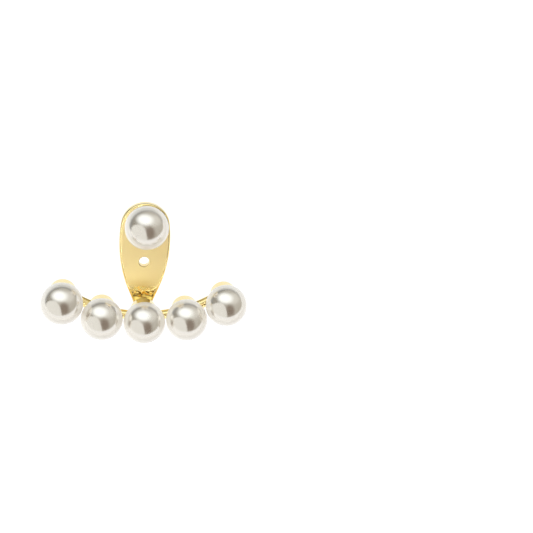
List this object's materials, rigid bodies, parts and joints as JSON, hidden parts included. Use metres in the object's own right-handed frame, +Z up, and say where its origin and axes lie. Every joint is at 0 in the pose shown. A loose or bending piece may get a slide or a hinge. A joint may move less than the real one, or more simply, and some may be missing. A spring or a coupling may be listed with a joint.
{
  "type": "ear jacket earring",
  "caption": "Ear jacket earring: a pearl stud through a teardrop plate that curls forward into a curved bar of pearls in cups, lying on its back.",
  "frame": {"origin": "on the surface that the earring lies on, under the middle of its bounding box", "axes": "+X along the row of pearls, towards the right of the picture; +Y from the row towards the stud; +Z up from the surface. The plate's front face leans 27.1 degrees from level, facing up and towards -Y"},
  "size_m": [0.0296, 0.0216, 0.0128],
  "materials": {
    "gold_plated_brass": "polished pale gold plating",
    "row_pearl": "pearl lacquer",
    "stud_pearl": "pearl lacquer",
    "gold_plated_post": "polished pale gold plating",
    "gold_plated_nut": "polished pale gold plating"
  },
  "bodies": {
    "root": {"jacket_frame": "gold_plated_brass", "pearl_left_outer": "row_pearl", "pearl_left_inner": "row_pearl", "pearl_middle": "row_pearl", "pearl_right_inner": "row_pearl", "pearl_right_outer": "row_pearl", "stud_post": "gold_plated_post", "stud_pearl": "stud_pearl", "ear_nut": "gold_plated_nut"}
  },
  "joints": []
}
